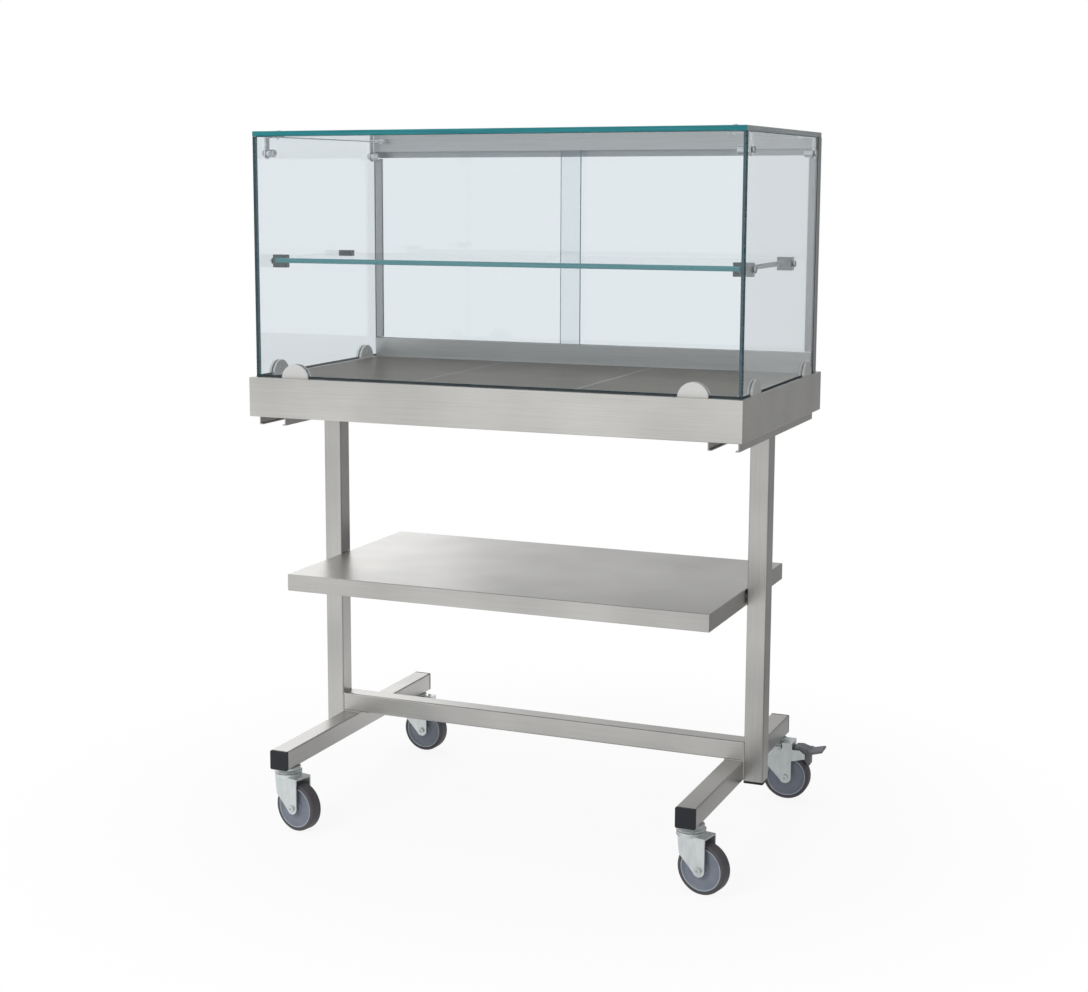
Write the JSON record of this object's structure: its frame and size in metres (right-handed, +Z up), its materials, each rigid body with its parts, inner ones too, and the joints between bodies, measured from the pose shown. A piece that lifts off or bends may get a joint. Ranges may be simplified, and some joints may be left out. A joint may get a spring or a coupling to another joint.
{
  "type": "heated display cart",
  "caption": "Heated display cart: a glass case with a glass shelf on a heated stainless base, rear sliding doors, and a castored post frame with a middle shelf.",
  "frame": {"origin": "on the floor, below the middle of the heated base", "axes": "X to the right seen from the front, Y to the back where the doors are, Z up"},
  "size_m": [1.0582, 0.676, 1.425],
  "materials": {
    "satin_stainless": "satin",
    "plate_steel": "plain",
    "deck_steel": "polished",
    "cap_plastic": "matte",
    "heater_silicone": "matte",
    "insulation_wool": "rough",
    "rail_aluminium": "satin",
    "clear_glass": "clear",
    "seal_rubber": "matte",
    "clamp_aluminium": "satin",
    "grey_clamp_metal": "satin",
    "polished_fittings": "polished",
    "control_plastic": "matte",
    "rocker_plastic": "gloss",
    "castor_zinc": "zinc plated",
    "axle_steel": "bright",
    "hub_plastic": "matte",
    "tyre_rubber": "matte",
    "pedal_plastic": "matte"
  },
  "bodies": {
    "cart": {"left_foot": "satin_stainless", "right_foot": "satin_stainless", "left_post": "satin_stainless", "right_post": "satin_stainless", "stretcher": "satin_stainless", "tube_end_caps": "cap_plastic", "post_head_plates": "plate_steel", "mid_shelf": "satin_stainless", "mid_shelf_angles": "plate_steel", "hidden_fasteners": "plate_steel", "base_shell": "satin_stainless", "left_deck_plate": "deck_steel", "middle_deck_plate": "deck_steel", "right_deck_plate": "deck_steel", "heating_mats": "heater_silicone", "insulation_board": "insulation_wool", "bottom_pan": "plate_steel", "left_channel": "satin_stainless", "right_channel": "satin_stainless", "door_track": "rail_aluminium", "door_header": "rail_aluminium", "door_jambs": "rail_aluminium", "top_pane": "clear_glass", "front_pane": "clear_glass", "left_pane": "clear_glass", "right_pane": "clear_glass", "glass_shelf": "clear_glass", "pane_seals": "seal_rubber", "half_moon_clamps": "clamp_aluminium", "corner_brackets": "polished_fittings", "shelf_clamps": "grey_clamp_metal", "glass_studs": "polished_fittings", "thermostat": "control_plastic", "switch_body": "control_plastic", "power_inlet": "control_plastic", "castor_stems": "castor_zinc"},
    "left_sliding_door": {"left_door": "clear_glass", "left_door_pull": "rail_aluminium"},
    "right_sliding_door": {"right_door": "clear_glass", "right_door_pull": "rail_aluminium"},
    "knob": {"thermostat_knob": "control_plastic"},
    "rocker": {"switch_rocker": "rocker_plastic"},
    "front_left_castor": {"front_left_fork": "castor_zinc", "front_left_axle": "axle_steel"},
    "front_left_roller": {"front_left_wheel": "hub_plastic", "front_left_tyre": "tyre_rubber"},
    "front_right_castor": {"front_right_fork": "castor_zinc", "front_right_axle": "axle_steel"},
    "front_right_roller": {"front_right_wheel": "hub_plastic", "front_right_tyre": "tyre_rubber"},
    "rear_left_castor": {"rear_left_fork": "castor_zinc", "rear_left_axle": "axle_steel"},
    "rear_left_roller": {"rear_left_wheel": "hub_plastic", "rear_left_tyre": "tyre_rubber"},
    "rear_left_brake_pedal": {"rear_left_pedal": "pedal_plastic"},
    "rear_right_castor": {"rear_right_fork": "castor_zinc", "rear_right_axle": "axle_steel"},
    "rear_right_roller": {"rear_right_wheel": "hub_plastic", "rear_right_tyre": "tyre_rubber"},
    "rear_right_brake_pedal": {"rear_right_pedal": "pedal_plastic"}
  },
  "joints": [
    {"name": "left_door_slide", "type": "slide", "parent": "cart", "child": "left_sliding_door", "axis": [1, 0, 0], "range_m": [0, 0.5]},
    {"name": "right_door_slide", "type": "slide", "parent": "cart", "child": "right_sliding_door", "axis": [1, 0, 0], "range_m": [-0.44, 0]},
    {"name": "thermostat_turn", "type": "hinge", "parent": "cart", "child": "knob", "pos_m": [-0.33, 0.29, 0.892], "axis": [0, -1, 0], "range_deg": [0, 270]},
    {"name": "switch_rock", "type": "hinge", "parent": "cart", "child": "rocker", "pos_m": [-0.392, 0.284, 0.892], "axis": [-1, 0, 0], "range_deg": [0, 16]},
    {"name": "front_left_swivel", "type": "hinge", "parent": "cart", "child": "front_left_castor", "pos_m": [-0.434, -0.299, 0.113], "axis": [0, 0, 1], "continuous": true},
    {"name": "front_left_roll", "type": "hinge", "parent": "front_left_castor", "child": "front_left_roller", "pos_m": [-0.40672, -0.3053, 0.05], "axis": [0.225, 0.9744, 0], "continuous": true},
    {"name": "front_right_swivel", "type": "hinge", "parent": "cart", "child": "front_right_castor", "pos_m": [0.434, -0.299, 0.113], "axis": [0, 0, 1], "continuous": true},
    {"name": "front_right_roll", "type": "hinge", "parent": "front_right_castor", "child": "front_right_roller", "pos_m": [0.46149, -0.30434, 0.05], "axis": [0.1908, 0.9816, 0], "continuous": true},
    {"name": "rear_left_swivel", "type": "hinge", "parent": "cart", "child": "rear_left_castor", "pos_m": [-0.434, 0.299, 0.113], "axis": [0, 0, 1], "continuous": true},
    {"name": "rear_left_roll", "type": "hinge", "parent": "rear_left_castor", "child": "rear_left_roller", "pos_m": [-0.40607, 0.29705, 0.05], "axis": [0.0698, 0.9976, 0], "continuous": true},
    {"name": "rear_left_brake", "type": "hinge", "parent": "rear_left_castor", "child": "rear_left_brake_pedal", "pos_m": [-0.38412, 0.29551, 0.104], "axis": [0.0698, 0.9976, 0], "range_deg": [0, 10]},
    {"name": "rear_right_swivel", "type": "hinge", "parent": "cart", "child": "rear_right_castor", "pos_m": [0.434, 0.299, 0.113], "axis": [0, 0, 1], "continuous": true},
    {"name": "rear_right_roll", "type": "hinge", "parent": "rear_right_castor", "child": "rear_right_roller", "pos_m": [0.46198, 0.29998, 0.05], "axis": [-0.0349, 0.9994, 0], "continuous": true},
    {"name": "rear_right_brake", "type": "hinge", "parent": "rear_right_castor", "child": "rear_right_brake_pedal", "pos_m": [0.48397, 0.30074, 0.104], "axis": [-0.0349, 0.9994, 0], "range_deg": [0, 10]}
  ]
}
